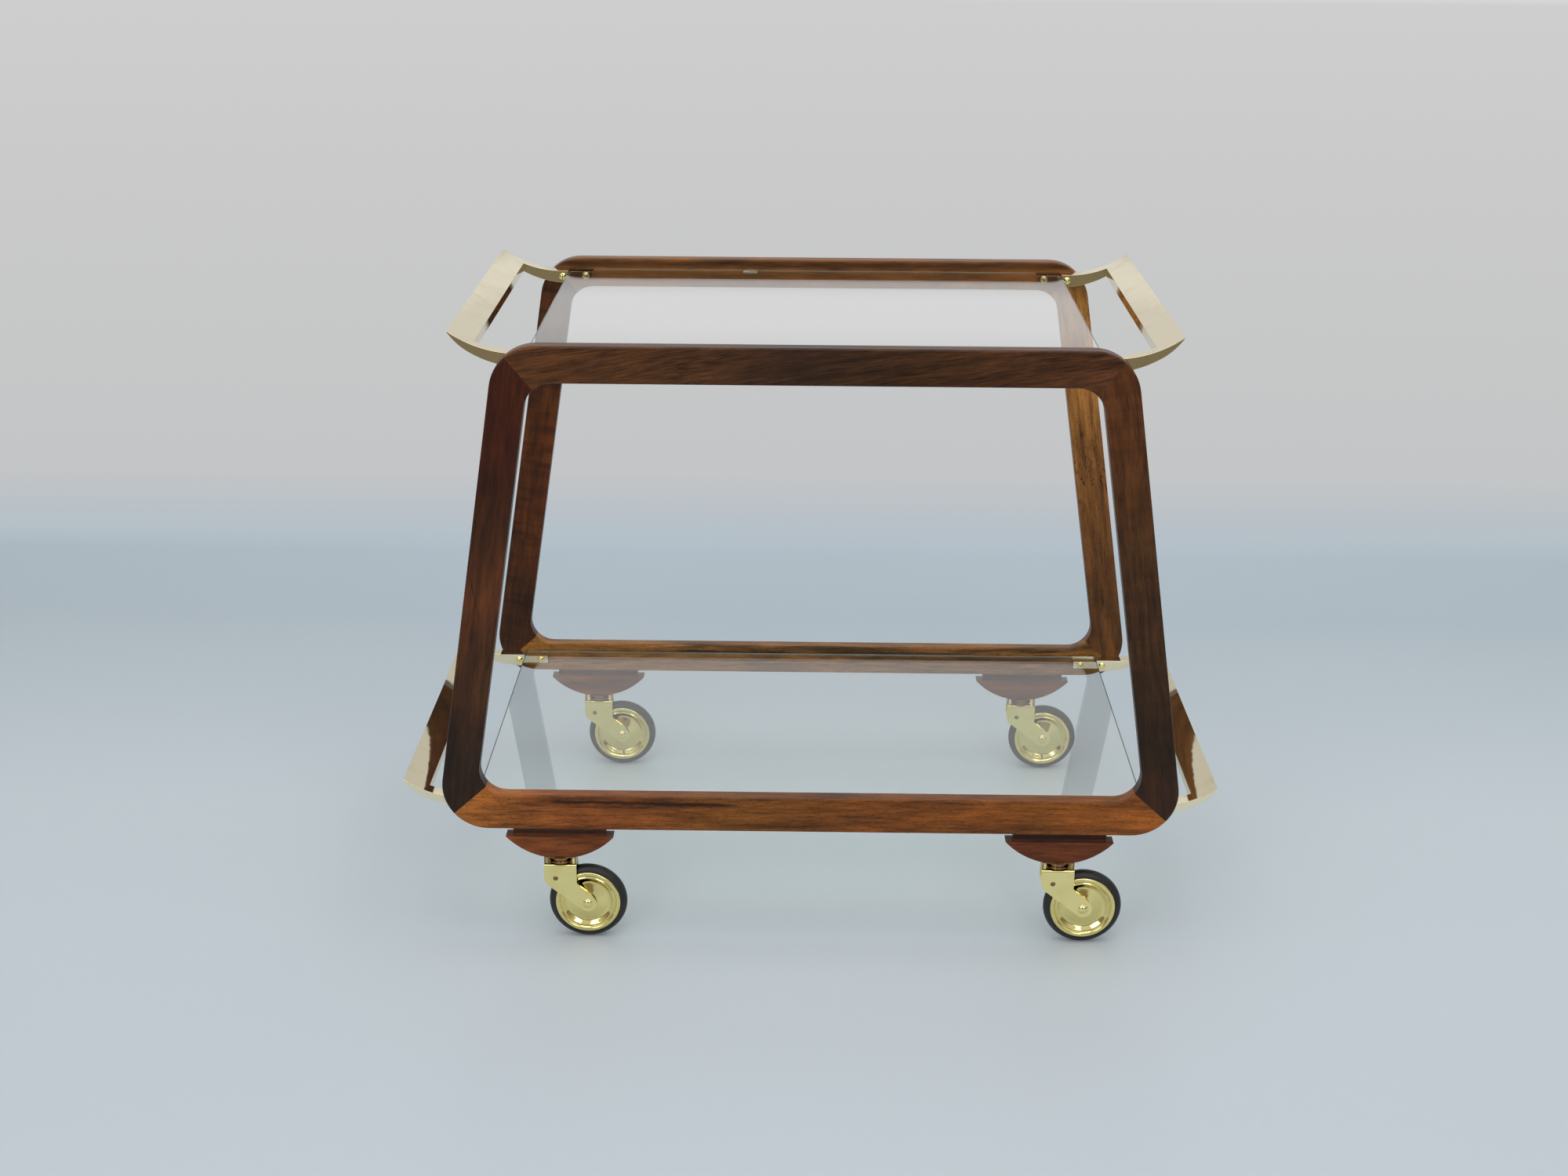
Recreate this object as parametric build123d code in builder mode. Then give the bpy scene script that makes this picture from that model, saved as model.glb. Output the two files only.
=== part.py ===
from build123d import *
import os
from math import acos, atan, atan2, degrees, hypot, pi, sin, sqrt

# Bar cart: two upright wooden frames, held apart by four cast brass handles that
# also carry two glass shelves, on four swivel casters. All sizes are millimetres.
# +X runs along the cart, +Y to its back and +Z up. The origin is on the floor
# under the middle of the cart.

# Caster wheel: a pressed brass rim with a dished face, and a rubber tyre
wheel_radius = 37.5
tyre_round = 6.5  # radius of the tread's section, and half of its width
tyre_clearance = 0.05
rim_radius = 31.3  # outer edge of the rim
rim_seat_radius = 27.0  # floor of the channel that holds the tyre
rim_seat_half = 5.9  # half-width of that channel
rim_edge = 0.4  # thickness of the rim's rolled edge
rim_bead_radius = 29.0  # crown of the broad outer bead
rim_bead_half = 6.8
groove_radius = 26.4  # groove between the two beads
groove_half = 5.5
inner_bead_radius = 25.2
inner_bead_half = 5.9
dish_radius = 24.0  # top of the dish's curved wall
dish_half = 5.2
floor_radius = 21.2  # edge of the dish's floor
floor_half = 3.0
floor_crown = 0.4  # how far the floor swells towards the hub
hub_radius = 6.0
hub_half = 7.3
axle_radius = 3.0
axle_clearance = 0.05
axle_head_radius = 4.8
axle_head_height = 2.2

# Caster fork: a brass strip bent to a U over the wheel
wheel_trail = 25.5  # the axle lies this far behind the swivel axis
fork_drop = 40.8  # from the fork's top down to the axle
fork_half_width = 9.5
fork_strip = 2.0
fork_half_length = 15.5  # of the strip's top, along the cart
fork_bend = 1.8
fork_inner_bend = 0.4
fork_hub_radius = 8.5
cheek_front_drop = 20.0  # straight edge over the wheel's side
brow_reach = 11.8  # slanted edge from there towards the axle
brow_drop = 9.7
cheek_back_drop = 15.0  # straight edge away from the wheel
heel_back = 9.8  # lower end of the rounded corner under that edge
heel_drop = 23.5
heel_bulge_back = 13.6  # middle of that corner
heel_bulge_drop = 20.0
cross_pin_radius = 1.5
cross_pin_head_radius = 2.4
cross_pin_head_height = 0.9
cross_pin_back = 4.6  # from the swivel axis, away from the wheel
cross_pin_drop = 14.1  # below the fork's top
pin_clearance = 0.05

# Swivel bearing, between the fork and the wooden block
plate_length = 30.4
plate_thickness = 1.0
plate_end_thickness = 1.2  # ends turned down towards the fork
plate_end_gap = 0.5
race_radius = 11.0
race_height = 5.2
race_rim = 1.4  # thickness of its two round-edged rims
race_waist = 9.0  # radius of the groove between them
washer_radius = 7.5
swivel_stack = 8.0  # from the fork's top to the wood
swivel_play = 0.15
kingpin_radius = 3.0
kingpin_head_radius = 5.0
kingpin_foot_height = 2.5
kingpin_head_height = 2.0
kingpin_clearance = 0.05

# Wooden caster block: a lens below, a narrower neck above it
swivel_offset = 237.6  # swivel axes from the middle of the cart
lens_half_length = 51.25
lens_height = 20.7
lens_flat_half = 16.0
neck_half_length = 44.0
neck_height = 8.0
neck_inset = 2.0
block_edge = 0.5
block_dowel_radius = 4.0
block_dowel_offset = 25.0
block_dowel_depth = 8.0  # into the rail, and as far into the lens
glue_gap = 0.1
recess_gap = 0.2  # round the kingpin's upper head

# Wooden frames
cart_depth = 412.4  # over the outer faces of the two frames
frame_height = 469.0
top_half_length = 282.3
bottom_half_length = 354.2
bar_width = 33.0  # across a leg
top_rail_width = 34.0
bottom_rail_width = 35.0
bar_thickness = 16.0
outer_corner_radius = 43.0
inner_corner_radius = 25.0
bar_edge = 2.0
mitre_reach = 25.0  # how far a mitre runs past the sharp inner corner
dowel_radius = 3.0
dowel_length = 24.0
first_dowel = 6.0  # from the outer end of a mitre
last_dowel = 13.0  # from the inner end of a mitre

# Glass shelves
glass_thickness = 5.0
glass_gap = 1.0  # between a shelf and the frames
glass_end_gap = 0.25  # between a shelf and the steps of the handles
glass_arris = 0.5
upper_shelf_drop = 10.7  # its top, below the top of the frames
lower_shelf_rise = 27.0  # its top, above the bottom of the frames
upper_step_inset = 26.9  # step of the upper handles, inside the frames' outer edge
lower_step_inset = 32.7

# Cast handles: the two at a shelf are alike
handle_reach = 69.0  # tip beyond the step that stops the glass
upper_handle_rise = 20.0  # tip above the top of the glass
lower_handle_rise = 16.0
upper_level_length = 7.0  # level top of the arm outside the step
lower_level_length = 15.0
grip_width = 22.5  # crosspiece, from the tip to the hand gap
arm_depth = 14.0
ledge_length = 25.5  # part of the arm under the glass
ledge_bottom = 12.8  # below the top of the glass
tip_thickness = 0.6
belly_reach = 19.8  # where the underside's two curves meet, from the tip
belly_depth = 8.2  # thickness of the crosspiece there
handle_edge = 0.4

# Handle screws
screw_radius = 2.0
screw_bite = 9.0
screw_head_radius = 3.8
screw_head_height = 2.6
screw_rim = 0.5
slot_width = 1.1
slot_depth = 1.1
outer_screw = 6.0  # outside the step
inner_screw = 18.0  # inside the step
outer_screw_drop = 6.0
inner_screw_drop = 9.0
screw_clearance = 0.05
slot_turn = 67.0  # each slot came to rest at another angle

# Spring clip on the back edge of the upper shelf
clip_offset = -67.2
clip_length = 14.5
clip_reach = 8.0
clip_thickness = 0.8
clip_bend = 0.6

# Heights that follow
axle_z = wheel_radius
fork_top = axle_z + fork_drop
block_flat = fork_top + swivel_stack
lens_top = block_flat + lens_height
frame_bottom = lens_top + neck_height
frame_top = frame_bottom + frame_height
upper_shelf_top = frame_top - upper_shelf_drop
lower_shelf_top = frame_bottom + lower_shelf_rise

# Widths that follow
inner_y = cart_depth / 2 - bar_thickness
bar_y = cart_depth / 2 - bar_thickness / 2
glass_half_width = inner_y - glass_gap
lean = (bottom_half_length - top_half_length) / frame_height
leg_width = bar_width * hypot(1, lean)

SIDES = {"front": -1, "back": 1}
ENDS = {"left": -1, "right": 1}
UPRIGHT = (Align.CENTER, Align.CENTER, Align.MIN)

os.makedirs("parts", exist_ok=True)


def write(piece, label):
    """Labels a finished piece and writes it to its own file."""
    piece.part.label = label
    export_step(piece.part, f"parts/{label}.step")


# Outline of a frame: corners of its outer and inner edge, and the mitres between


def frame_half_length(z):
    """Half-length of a frame's outer edge at a height."""
    return top_half_length + (frame_top - z) * lean


def corner_pair(z_outer, z_inner):
    """Outer and inner corner at the right end of one rail, as points in X and Z."""
    outer = (frame_half_length(z_outer), z_outer)
    inner = (frame_half_length(z_inner) - leg_width, z_inner)
    return outer, inner


def mirrored(point):
    return (-point[0], point[1])


def along_mitre(outer, inner, distance):
    """Point on a mitre at a distance from the sharp outer corner."""
    share = distance / hypot(inner[0] - outer[0], inner[1] - outer[1])
    return (outer[0] + (inner[0] - outer[0]) * share, outer[1] + (inner[1] - outer[1]) * share)


def mitre_span(outer, inner, half_angle):
    """Distances from the sharp outer corner at which a mitre's face starts and ends."""
    run = hypot(inner[0] - outer[0], inner[1] - outer[1])
    start = outer_corner_radius * (1 / sin(half_angle) - 1)
    end = run + inner_corner_radius * (1 / sin(half_angle) - 1)
    return start, end


def past_corner(outer, inner):
    """Point on a mitre beyond the inner edge, where the cut is clear of the wood."""
    run = hypot(inner[0] - outer[0], inner[1] - outer[1])
    return along_mitre(outer, inner, run + mitre_reach)


upper_outer, upper_inner = corner_pair(frame_top, frame_top - top_rail_width)
lower_outer, lower_inner = corner_pair(frame_bottom, frame_bottom + bottom_rail_width)
upper_half_angle = (pi / 2 + atan(lean)) / 2
lower_half_angle = (pi / 2 - atan(lean)) / 2
MITRES = ((upper_outer, upper_inner, upper_half_angle), (lower_outer, lower_inner, lower_half_angle))

outer_corners = (upper_outer, lower_outer, mirrored(lower_outer), mirrored(upper_outer))
inner_corners = (upper_inner, lower_inner, mirrored(lower_inner), mirrored(upper_inner))
upper_deep = past_corner(upper_outer, upper_inner)
lower_deep = past_corner(lower_outer, lower_inner)
right_leg_region = (upper_outer, upper_deep, lower_deep, lower_outer)
BARS = {
    "top_rail": (upper_outer, upper_deep, mirrored(upper_deep), mirrored(upper_outer)),
    "bottom_rail": (lower_outer, lower_deep, mirrored(lower_deep), mirrored(lower_outer)),
    "left_leg": tuple(mirrored(corner) for corner in right_leg_region),
    "right_leg": right_leg_region,
}


def mitre_dowel_places(side):
    """Planes on the dowels' middles: two across each mitre of one frame."""
    places = []
    for end in ENDS.values():
        for outer, inner, half_angle in MITRES:
            start, finish = mitre_span(outer, inner, half_angle)
            direction = (inner[1] - outer[1], 0, (outer[0] - inner[0]) * end)
            for distance in (start + first_dowel, finish - last_dowel):
                x, z = along_mitre(outer, inner, distance)
                places.append(Plane(origin=(end * x, side * bar_y, z), z_dir=direction))
    return places


# Places of the handle screws, two for each arm, and of the caster blocks' dowels

upper_shelf_half = frame_half_length(upper_shelf_top) - upper_step_inset
lower_shelf_half = frame_half_length(lower_shelf_top) - lower_step_inset
SHELVES = {"upper": (upper_shelf_half, upper_shelf_top), "lower": (lower_shelf_half, lower_shelf_top)}
HANDLE_CURVES = {
    "upper": (upper_handle_rise, upper_level_length),
    "lower": (lower_handle_rise, lower_level_length),
}


def screw_points(half_length, shelf_top, end):
    """X and Z of the two screws in an arm."""
    return (
        (end * (half_length + outer_screw), shelf_top - outer_screw_drop),
        (end * (half_length - inner_screw), shelf_top - inner_screw_drop),
    )


def all_screw_points():
    return [
        point
        for half_length, shelf_top in SHELVES.values()
        for end in ENDS.values()
        for point in screw_points(half_length, shelf_top, end)
    ]


def outward(points, y, side):
    """Places on an upright face at y, whose own Z points away from the cart's middle."""
    return [Location((x, y, z), (-90 * side, 0, 0)) for x, z in points]


def block_dowel_places(side):
    """Lower ends of the dowels that join the caster blocks to a bottom rail."""
    return [
        (end * swivel_offset + step * block_dowel_offset, side * bar_y, lens_top - block_dowel_depth)
        for end in ENDS.values()
        for step in (-1, 1)
    ]


block_dowel_length = 2 * block_dowel_depth + neck_height


# Wooden frames, each of two rails and two legs that meet in mitres at the corners


def frame_bar(label, region, side):
    """One bar of a frame, cut from the rounded outline at its two mitres."""
    back_face = cart_depth / 2 if side > 0 else -inner_y
    with BuildPart() as bar:
        with BuildSketch(Plane.XZ.offset(-back_face)):
            with BuildLine():
                FilletPolyline(*outer_corners, radius=outer_corner_radius, close=True)
            make_face()
            with BuildLine():
                FilletPolyline(*inner_corners, radius=inner_corner_radius, close=True)
            make_face(mode=Mode.SUBTRACT)
            with BuildLine():
                Polyline(*region, close=True)
            make_face(mode=Mode.INTERSECT)
        extrude(amount=bar_thickness)
        in_faces = bar.edges().filter_by(Plane.XZ)
        straights = in_faces.filter_by(GeomType.LINE).filter_by(lambda e: e.length > 2 * bar_width)
        fillet(in_faces.filter_by(GeomType.CIRCLE) + straights, bar_edge)
        with Locations(*outward(all_screw_points(), side * inner_y, side)):
            Cylinder(
                screw_radius + screw_clearance,
                screw_bite + screw_clearance,
                align=UPRIGHT,
                mode=Mode.SUBTRACT,
            )
        with Locations(*mitre_dowel_places(side)):
            Cylinder(dowel_radius + glue_gap, dowel_length + 2 * glue_gap, mode=Mode.SUBTRACT)
        with Locations(*block_dowel_places(side)):
            Cylinder(
                block_dowel_radius + glue_gap,
                block_dowel_length + glue_gap,
                align=UPRIGHT,
                mode=Mode.SUBTRACT,
            )
    write(bar, label)


for side_name, side in SIDES.items():
    for bar_name, region in BARS.items():
        frame_bar(f"{side_name}_{bar_name}", region, side)

with BuildPart() as mitre_dowels:
    with Locations(*mitre_dowel_places(-1), *mitre_dowel_places(1)):
        Cylinder(dowel_radius, dowel_length)
write(mitre_dowels, "mitre_dowels")


# Glass shelves, flush with the tops of the handles' steps


def glass_shelf(label, half_length, shelf_top):
    with BuildPart() as shelf:
        with Locations((0, 0, shelf_top - glass_thickness)):
            Box(2 * (half_length - glass_end_gap), 2 * glass_half_width, glass_thickness, align=UPRIGHT)
        chamfer(shelf.edges(), glass_arris)
    write(shelf, label)


for shelf_name, (half_length, shelf_top) in SHELVES.items():
    glass_shelf(f"{shelf_name}_glass_shelf", half_length, shelf_top)


# Cast handles: a crescent crosspiece with an arm at each end, stepped for the glass


def rise_along_arc(run, rise, distance):
    """Rise, at a distance from its level end, of an arc with a given run and rise."""
    radius = (run**2 + rise**2) / (2 * rise)
    return radius - sqrt(radius**2 - distance**2)


def handle(label, half_length, shelf_top, handle_rise, level_length, end):
    """A handle whose section is drawn from its tip inwards, at one end of the cart."""
    tip = half_length + handle_reach
    arc_run = handle_reach - level_length
    middle_rise = rise_along_arc(arc_run, handle_rise, arc_run / 2)
    belly_height = rise_along_arc(arc_run, handle_rise, arc_run - belly_reach) - belly_depth

    def at(from_tip, height):
        return (end * (tip - from_tip), shelf_top + height)

    with BuildPart() as casting:
        with BuildSketch(Plane.XZ.offset(-inner_y)):
            with BuildLine():
                ThreePointArc(at(0, handle_rise), at(arc_run / 2, middle_rise), at(arc_run, 0))
                Polyline(
                    at(arc_run, 0),
                    at(handle_reach, 0),
                    at(handle_reach, -glass_thickness),
                    at(handle_reach + ledge_length, -glass_thickness),
                    at(handle_reach + ledge_length, -ledge_bottom),
                    at(handle_reach, -ledge_bottom),
                )
                belly = TangentArc(
                    at(handle_reach, -ledge_bottom),
                    at(belly_reach, belly_height),
                    tangent=(end, 0),
                )
                TangentArc(belly @ 1, at(0, handle_rise - tip_thickness), tangent=belly % 1)
                Line(at(0, handle_rise - tip_thickness), at(0, handle_rise))
            make_face()
        extrude(amount=2 * inner_y)
        arm_face = inner_y - arm_depth
        gap_start = tip - grip_width
        gap_end = half_length - 2 * ledge_length
        with Locations((end * (gap_start + gap_end) / 2, 0, shelf_top)):
            Box(gap_start - gap_end, 2 * arm_face, 4 * handle_rise, mode=Mode.SUBTRACT)
        gap_edges = casting.edges().filter_by(lambda e: abs(e.center().Y) < arm_face + handle_edge)
        rims = gap_edges.filter_by(Plane.XZ) + gap_edges.filter_by(Axis.Y).filter_by(
            lambda e: abs(e.center().X - end * gap_start) < handle_edge
        )
        chamfer(rims, handle_edge)
        for side in SIDES.values():
            points = screw_points(half_length, shelf_top, end)
            with Locations(*outward(points, side * arm_face, side)):
                Cylinder(screw_radius + screw_clearance, arm_depth, align=UPRIGHT, mode=Mode.SUBTRACT)
    write(casting, label)


for shelf_name, (half_length, shelf_top) in SHELVES.items():
    rise, level = HANDLE_CURVES[shelf_name]
    for end_name, end in ENDS.items():
        handle(f"{shelf_name}_{end_name}_handle", half_length, shelf_top, rise, level, end)


# Slotted dome-head screws through the arms into the frames

dome_height = screw_head_height - screw_rim
dome_sag = rise_along_arc(screw_head_radius, dome_height, screw_head_radius / 2)
screw_end = -arm_depth - screw_bite
with BuildPart() as screw:
    with BuildSketch(Plane.XZ):
        with BuildLine():
            Polyline(
                (0, screw_head_height),
                (0, screw_end),
                (screw_radius, screw_end + screw_radius),
                (screw_radius, 0),
                (screw_head_radius, 0),
                (screw_head_radius, screw_rim),
            )
            ThreePointArc(
                (screw_head_radius, screw_rim),
                (screw_head_radius / 2, screw_head_height - dome_sag),
                (0, screw_head_height),
            )
        make_face()
    revolve(axis=Axis.Z)
    with Locations((0, 0, screw_head_height - slot_depth)):
        Box(slot_width, 3 * screw_head_radius, 2 * slot_depth, align=UPRIGHT, mode=Mode.SUBTRACT)

with BuildPart() as handle_screws:
    count = 0
    for side in SIDES.values():
        for x, z in all_screw_points():
            seat = Location((x, side * (inner_y - arm_depth), z), (90 * side, 0, 0))
            with Locations(seat * Location((0, 0, 0), (0, 0, count * slot_turn))):
                add(screw.part)
            count += 1
write(handle_screws, "handle_screws")


# Spring clip: a strip bent round the back edge of the upper shelf

clip_middle = clip_thickness / 2
with BuildPart() as glass_clip:
    with BuildSketch(Plane.YZ.offset(clip_offset - clip_length / 2)):
        with BuildLine():
            FilletPolyline(
                (glass_half_width - clip_reach, upper_shelf_top + clip_middle),
                (glass_half_width + clip_middle, upper_shelf_top + clip_middle),
                (glass_half_width + clip_middle, upper_shelf_top - glass_thickness - clip_middle),
                (glass_half_width - clip_reach, upper_shelf_top - glass_thickness - clip_middle),
                radius=clip_bend,
            )
        trace(line_width=clip_thickness)
    extrude(amount=clip_length)
write(glass_clip, "glass_clip")


# Caster blocks, and the dowels that hold them

CASTERS = {
    f"{side_name}_{end_name}": (end * swivel_offset, side * bar_y)
    for side_name, side in SIDES.items()
    for end_name, end in ENDS.items()
}


def at_each_caster(template, piece_name):
    """Writes one copy of a piece for each corner of the cart."""
    for caster_name, (x, y) in CASTERS.items():
        with BuildPart() as piece:
            with Locations((x, y, 0)):
                add(template.part)
        write(piece, f"{caster_name}_{piece_name}")


lens_centre = (lens_half_length**2 + lens_height**2 - lens_flat_half**2) / (2 * lens_height)
lens_radius = hypot(lens_flat_half, lens_centre)
lens_middle = (lens_half_length + lens_flat_half) / 2
lens_middle_z = block_flat + lens_centre - sqrt(lens_radius**2 - lens_middle**2)
with BuildPart() as caster_block:
    with BuildSketch(Plane.XZ.offset(-bar_thickness / 2)):
        with BuildLine():
            ThreePointArc(
                (lens_flat_half, block_flat), (lens_middle, lens_middle_z), (lens_half_length, lens_top)
            )
            Line((lens_half_length, lens_top), (-lens_half_length, lens_top))
            ThreePointArc(
                (-lens_half_length, lens_top), (-lens_middle, lens_middle_z), (-lens_flat_half, block_flat)
            )
            Line((-lens_flat_half, block_flat), (lens_flat_half, block_flat))
        make_face()
    extrude(amount=bar_thickness)
    chamfer(caster_block.edges().filter_by(Plane.XZ), block_edge)
    with Locations((0, 0, lens_top)):
        Box(2 * neck_half_length, bar_thickness - 2 * neck_inset, neck_height, align=UPRIGHT)
    with Locations(*[(step * block_dowel_offset, 0, lens_top - block_dowel_depth) for step in (-1, 1)]):
        Cylinder(block_dowel_radius + glue_gap, block_dowel_length, align=UPRIGHT, mode=Mode.SUBTRACT)
    with Locations((0, 0, block_flat)):
        Cylinder(
            kingpin_head_radius + recess_gap,
            kingpin_head_height + recess_gap,
            align=UPRIGHT,
            mode=Mode.SUBTRACT,
        )
at_each_caster(caster_block, "caster_block")

with BuildPart() as block_dowels:
    with Locations(*block_dowel_places(-1), *block_dowel_places(1)):
        Cylinder(block_dowel_radius, block_dowel_length, align=UPRIGHT)
write(block_dowels, "block_dowels")


# Swivel bearing: plate, race, washer and the kingpin that holds them to the block

kingpin_hole = kingpin_radius + kingpin_clearance
plate_bottom = block_flat - plate_thickness
race_bottom = plate_bottom - race_height
washer_bottom = fork_top + swivel_play

with BuildPart() as swivel_plate:
    with Locations((0, 0, plate_bottom)):
        Box(plate_length, bar_thickness, plate_thickness, align=UPRIGHT)
    end_bottom = fork_top + plate_end_gap
    end_middle = (plate_length - plate_end_thickness) / 2
    with Locations((-end_middle, 0, end_bottom), (end_middle, 0, end_bottom)):
        Box(plate_end_thickness, bar_thickness, block_flat - end_bottom, align=UPRIGHT)
    fillet(swivel_plate.edges().filter_by(Axis.Y).group_by(Axis.Z)[-1], plate_thickness / 2)
    with Locations((0, 0, plate_bottom)):
        Cylinder(kingpin_hole, 2 * plate_thickness, align=UPRIGHT, mode=Mode.SUBTRACT)
at_each_caster(swivel_plate, "swivel_plate")

with BuildPart() as swivel_race:
    rim_core = race_radius - race_rim / 2
    upper_rim_bottom = plate_bottom - race_rim
    lower_rim_top = race_bottom + race_rim
    with BuildSketch(Plane.XZ):
        with BuildLine():
            Polyline(
                (rim_core, race_bottom),
                (kingpin_hole, race_bottom),
                (kingpin_hole, plate_bottom),
                (rim_core, plate_bottom),
            )
            ThreePointArc(
                (rim_core, plate_bottom),
                (race_radius, plate_bottom - race_rim / 2),
                (rim_core, upper_rim_bottom),
            )
            Polyline(
                (rim_core, upper_rim_bottom),
                (race_waist, upper_rim_bottom),
                (race_waist, lower_rim_top),
                (rim_core, lower_rim_top),
            )
            ThreePointArc(
                (rim_core, lower_rim_top),
                (race_radius, race_bottom + race_rim / 2),
                (rim_core, race_bottom),
            )
        make_face()
    revolve(axis=Axis.Z)
at_each_caster(swivel_race, "swivel_race")

with BuildPart() as thrust_washer:
    with BuildSketch(Plane.XY.offset(washer_bottom)):
        Circle(washer_radius)
        Circle(kingpin_hole, mode=Mode.SUBTRACT)
    extrude(amount=race_bottom - washer_bottom)
at_each_caster(thrust_washer, "thrust_washer")

foot_top = fork_top - fork_strip - swivel_play
with BuildPart() as kingpin:
    with Locations((0, 0, foot_top - kingpin_foot_height)):
        Cylinder(kingpin_head_radius, kingpin_foot_height, align=UPRIGHT)
    fillet(kingpin.edges().group_by(Axis.Z)[0], kingpin_foot_height / 2)
    with Locations((0, 0, foot_top)):
        Cylinder(kingpin_radius, block_flat - foot_top, align=UPRIGHT)
    with Locations((0, 0, block_flat)):
        Cylinder(kingpin_head_radius, kingpin_head_height, align=UPRIGHT)
at_each_caster(kingpin, "kingpin")


# Fork, with the rivet across it and the axle

heel_x = -heel_back - wheel_trail
heel_z = fork_drop - heel_drop
heading = degrees(atan2(heel_z, heel_x))
spread = degrees(acos(fork_hub_radius / hypot(heel_x, heel_z)))
hub_sweep = heading + spread - 360
cheek_plane = Plane(origin=(0, fork_half_width, fork_top), x_dir=(1, 0, 0), z_dir=(0, -1, 0))
with BuildPart() as fork:
    with BuildSketch(cheek_plane):
        with BuildLine():
            Polyline(
                (-fork_half_length, -cheek_back_drop),
                (-fork_half_length, 0),
                (fork_half_length, 0),
                (fork_half_length, -cheek_front_drop),
            )
            brow = Line(
                (fork_half_length, -cheek_front_drop),
                (fork_half_length + brow_reach, -cheek_front_drop - brow_drop),
            )
            TangentArc(brow @ 1, (wheel_trail + fork_hub_radius, -fork_drop), tangent=brow % 1)
            sole = CenterArc((wheel_trail, -fork_drop), fork_hub_radius, 0, hub_sweep)
            Line(sole @ 1, (-heel_back, -heel_drop))
            ThreePointArc(
                (-heel_back, -heel_drop),
                (-heel_bulge_back, -heel_bulge_drop),
                (-fork_half_length, -cheek_back_drop),
            )
        make_face()
    extrude(amount=2 * fork_half_width)
    with Locations((0, 0, axle_z - 2 * fork_hub_radius)):
        Box(
            4 * fork_drop,
            2 * (fork_half_width - fork_strip),
            fork_drop + 2 * fork_hub_radius - fork_strip,
            align=UPRIGHT,
            mode=Mode.SUBTRACT,
        )
    fillet(fork.edges().filter_by(Axis.X).group_by(Axis.Z)[-2], fork_inner_bend)
    fillet(fork.edges().filter_by(Axis.X).group_by(Axis.Z)[-1], fork_bend)
    with Locations((0, 0, fork_top - 2 * fork_strip)):
        Cylinder(kingpin_hole, 3 * fork_strip, align=UPRIGHT, mode=Mode.SUBTRACT)
    with Locations(Location((wheel_trail, 0, axle_z), (90, 0, 0))):
        Cylinder(axle_radius + axle_clearance, 3 * fork_half_width, mode=Mode.SUBTRACT)
    with Locations(Location((-cross_pin_back, 0, fork_top - cross_pin_drop), (90, 0, 0))):
        Cylinder(cross_pin_radius + pin_clearance, 3 * fork_half_width, mode=Mode.SUBTRACT)
at_each_caster(fork, "fork")


def rivet(radius, head_radius, head_height, x, z):
    """A pin across the fork, with a domed head on the outside of each cheek."""
    head_top = fork_half_width + head_height
    sag = rise_along_arc(head_radius, head_height, head_radius / 2)
    with BuildPart() as pin:
        with BuildSketch(Plane(origin=(x, 0, z), x_dir=(0, 0, 1), z_dir=(1, 0, 0))):
            with BuildLine():
                Polyline((0, 0), (radius, 0), (radius, fork_half_width), (head_radius, fork_half_width))
                ThreePointArc(
                    (head_radius, fork_half_width), (head_radius / 2, head_top - sag), (0, head_top)
                )
                Line((0, head_top), (0, 0))
            make_face()
        revolve(axis=Axis((x, 0, z), (0, 1, 0)))
        mirror(about=Plane.XZ)
    return pin


cross_pin = rivet(
    cross_pin_radius, cross_pin_head_radius, cross_pin_head_height, -cross_pin_back, fork_top - cross_pin_drop
)
at_each_caster(cross_pin, "cross_pin")
axle = rivet(axle_radius, axle_head_radius, axle_head_height, wheel_trail, axle_z)
at_each_caster(axle, "axle")


# Wheel: half of each section is drawn from the wheel's middle plane and mirrored

wheel_plane = Plane(origin=(wheel_trail, 0, axle_z), x_dir=(0, 0, 1), z_dir=(1, 0, 0))
wheel_axis = Axis((wheel_trail, 0, axle_z), (0, 1, 0))
bore_radius = axle_radius + axle_clearance
with BuildPart() as wheel_disc:
    with BuildSketch(wheel_plane):
        with BuildLine():
            Polyline(
                (bore_radius, 0),
                (bore_radius, hub_half),
                (hub_radius, hub_half),
                (hub_radius, floor_half + floor_crown),
                (floor_radius, floor_half),
            )
            RadiusArc((floor_radius, floor_half), (dish_radius, dish_half), floor_half)
            ThreePointArc(
                (dish_radius, dish_half), (inner_bead_radius, inner_bead_half), (groove_radius, groove_half)
            )
            ThreePointArc(
                (groove_radius, groove_half),
                (rim_bead_radius, rim_bead_half),
                (rim_radius, rim_seat_half + rim_edge),
            )
            Polyline(
                (rim_radius, rim_seat_half + rim_edge),
                (rim_radius, rim_seat_half),
                (rim_seat_radius, rim_seat_half),
                (rim_seat_radius, 0),
            )
            mirror(about=Plane.XZ)
        make_face()
    revolve(axis=wheel_axis)
at_each_caster(wheel_disc, "wheel_disc")

tread_centre = wheel_radius - tyre_round
shoulder_radius = rim_radius + 2 * tyre_clearance
shoulder_half = sqrt(tyre_round**2 - (shoulder_radius - tread_centre) ** 2)
seat_half = rim_seat_half - tyre_clearance
half_chord = tyre_round / sqrt(2)
with BuildPart() as tyre:
    with BuildSketch(wheel_plane):
        with BuildLine():
            Polyline(
                (rim_seat_radius + tyre_clearance, 0),
                (rim_seat_radius + tyre_clearance, seat_half),
                (shoulder_radius, seat_half),
                (shoulder_radius, shoulder_half),
            )
            ThreePointArc(
                (shoulder_radius, shoulder_half),
                (tread_centre + half_chord, half_chord),
                (wheel_radius, 0),
            )
            mirror(about=Plane.XZ)
        make_face()
    revolve(axis=wheel_axis)
at_each_caster(tyre, "tyre")
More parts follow.
